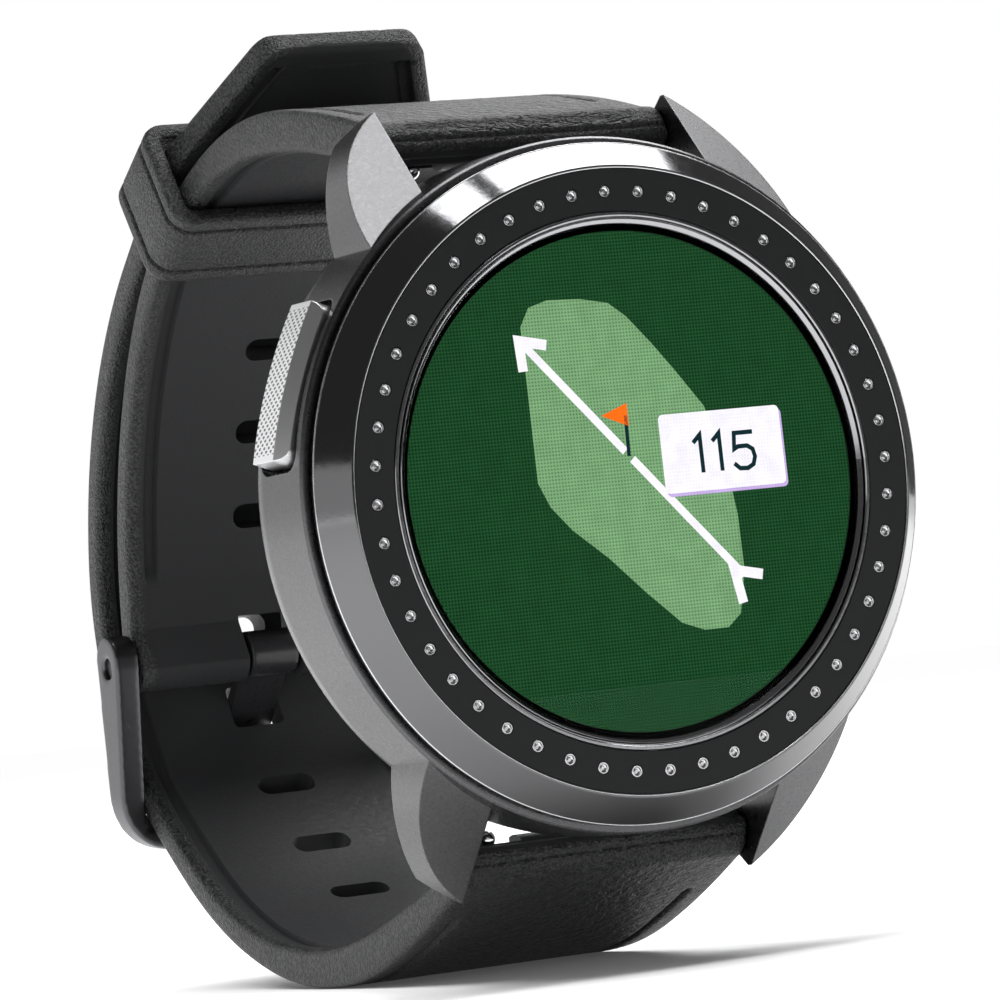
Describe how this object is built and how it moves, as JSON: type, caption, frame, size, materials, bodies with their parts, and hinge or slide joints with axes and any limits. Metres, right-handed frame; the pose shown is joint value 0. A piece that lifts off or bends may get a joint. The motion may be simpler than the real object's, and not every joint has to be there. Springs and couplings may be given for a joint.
{
  "type": "golf gps watch",
  "caption": "Round golf GPS watch with a studded bezel, side button, quick-release silicone strap, keeper loop and pin buckle, shown buckled.",
  "frame": {"origin": "centre of the case back's flat face", "axes": "+Y out of the case back into the wrist, +Z to 12 o'clock, +X to 3 o'clock; the dial faces -Y"},
  "size_m": [0.0468, 0.0662, 0.0673],
  "materials": {
    "case_metal": "fine-grained satin gunmetal coating",
    "bezel_metal": "dark polished plating",
    "insert_black": "satin black",
    "stud_steel": "turned",
    "trim_steel": "polished",
    "lens_glass": "polished",
    "black_film": "gloss",
    "display": "lit colour display",
    "white_film": "matt",
    "frame_plastic": "moulded",
    "board_green": "solder mask",
    "chip_black": "moulded",
    "ceramic": "fired ceramic",
    "battery_foil": "foil pouch",
    "flex_amber": "polyimide",
    "motor_steel": "satin",
    "button_steel": "fine knurl, satin bevels",
    "seal_rubber": "matt",
    "contact_gold": "gold plated",
    "back_plastic": "fine satin",
    "screw_steel": "satin",
    "bar_steel": "polished",
    "strap_rubber": "soft silicone, satin",
    "buckle_metal": "dark grey satin"
  },
  "bodies": {
    "watch": {"case_body": "case_metal", "bezel_ring": "bezel_metal", "bezel_insert": "insert_black", "bezel_studs": "stud_steel", "lens_trim_ring": "trim_steel", "lens": "lens_glass", "lens_gasket": "black_film", "display_panel": "display", "display_backlight": "white_film", "display_frame": "frame_plastic", "display_flex": "flex_amber", "main_board": "board_green", "board_chips": "chip_black", "gps_antenna": "ceramic", "battery": "battery_foil", "vibration_can": "motor_steel", "button_switch": "chip_black", "button_seals": "seal_rubber", "case_back": "back_plastic", "case_back_seal": "seal_rubber", "case_back_screws": "screw_steel", "contact_block": "black_film", "charging_contacts": "contact_gold", "short_strap": "strap_rubber", "long_strap": "strap_rubber", "upper_bar_tube": "bar_steel", "upper_bar_fixed_tip": "bar_steel", "upper_bar_spring": "bar_steel", "lower_bar_tube": "bar_steel", "lower_bar_fixed_tip": "bar_steel", "lower_bar_spring": "bar_steel"},
    "button": {"side_button": "button_steel", "button_clips": "screw_steel", "switch_plunger": "motor_steel"},
    "upper_release": {"upper_bar_release": "bar_steel"},
    "lower_release": {"lower_bar_release": "bar_steel"},
    "keeper_loop": {"keeper": "strap_rubber"},
    "buckle": {"buckle_frame": "buckle_metal", "buckle_pin": "bar_steel"},
    "tang": {"buckle_tang": "buckle_metal"},
    "motor_weight": {"vibration_weight": "motor_steel"}
  },
  "joints": [
    {"name": "button_press", "type": "slide", "parent": "watch", "child": "button", "axis": [0.9291, 0, -0.3697], "range_m": [0, 0.00045], "stiffness_N_per_m": 2500, "springref_m": -0.0004},
    {"name": "upper_bar_release_slide", "type": "slide", "parent": "watch", "child": "upper_release", "axis": [1, 0, 0], "range_m": [0, 0.0014], "stiffness_N_per_m": 700, "springref_m": -0.001},
    {"name": "lower_bar_release_slide", "type": "slide", "parent": "watch", "child": "lower_release", "axis": [1, 0, 0], "range_m": [0, 0.0014], "stiffness_N_per_m": 700, "springref_m": -0.001},
    {"name": "keeper_shift", "type": "hinge", "parent": "watch", "child": "keeper_loop", "pos_m": [0, 0.01538, -0.00172], "axis": [1, 0, 0], "range_deg": [-14, 2.5]},
    {"name": "buckle_pivot", "type": "hinge", "parent": "watch", "child": "buckle", "pos_m": [0, 0.046, -0.0079], "axis": [1, 0, 0], "range_deg": [0, 3]},
    {"name": "tang_pivot", "type": "hinge", "parent": "buckle", "child": "tang", "pos_m": [0, 0.046, -0.0079], "axis": [1, 0, 0], "range_deg": [0, 3]},
    {"name": "vibration_spin", "type": "hinge", "parent": "watch", "child": "motor_weight", "pos_m": [0, -0.0059, 0.0122], "axis": [0, 1, 0], "continuous": true}
  ]
}
